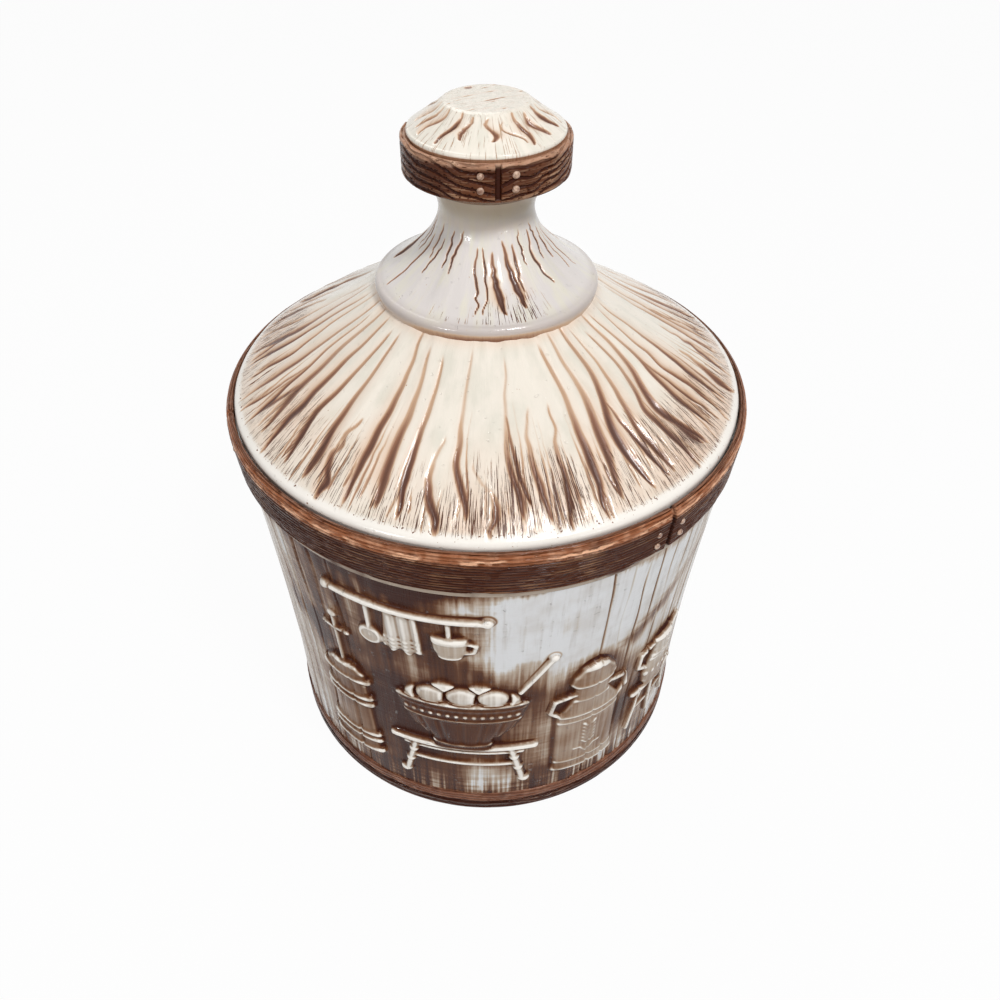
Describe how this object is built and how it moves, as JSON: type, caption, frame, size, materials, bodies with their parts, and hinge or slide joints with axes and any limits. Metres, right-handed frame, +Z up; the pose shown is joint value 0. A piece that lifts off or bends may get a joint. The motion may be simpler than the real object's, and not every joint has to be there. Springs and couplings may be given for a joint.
{
  "type": "cookie jar",
  "caption": "Round glazed ceramic canister with moulded plank hoops and a relief scene, under a furrowed conical lift-off lid with a waisted knob.",
  "frame": {"origin": "middle of the foot's underside, on the surface that the jar stands on", "axes": "+Z up along the jar's own axis and the lid's lift, -Y towards the front with the relief scene, +X to the viewer's right"},
  "size_m": [0.204, 0.204, 0.2804],
  "materials": {
    "jar_glaze": "glossy clear glaze over an off-white body, with a brown wash brushed into the relief",
    "lid_glaze": "glossy clear glaze over an ivory body, with a brown wash left in the furrows"
  },
  "bodies": {
    "jar": {"jar": "jar_glaze"},
    "lid": {"lid": "lid_glaze"}
  },
  "joints": [
    {"name": "lid_lift", "type": "slide", "parent": "jar", "child": "lid", "axis": [0, 0, 1], "range_m": [0, 0.15]}
  ]
}
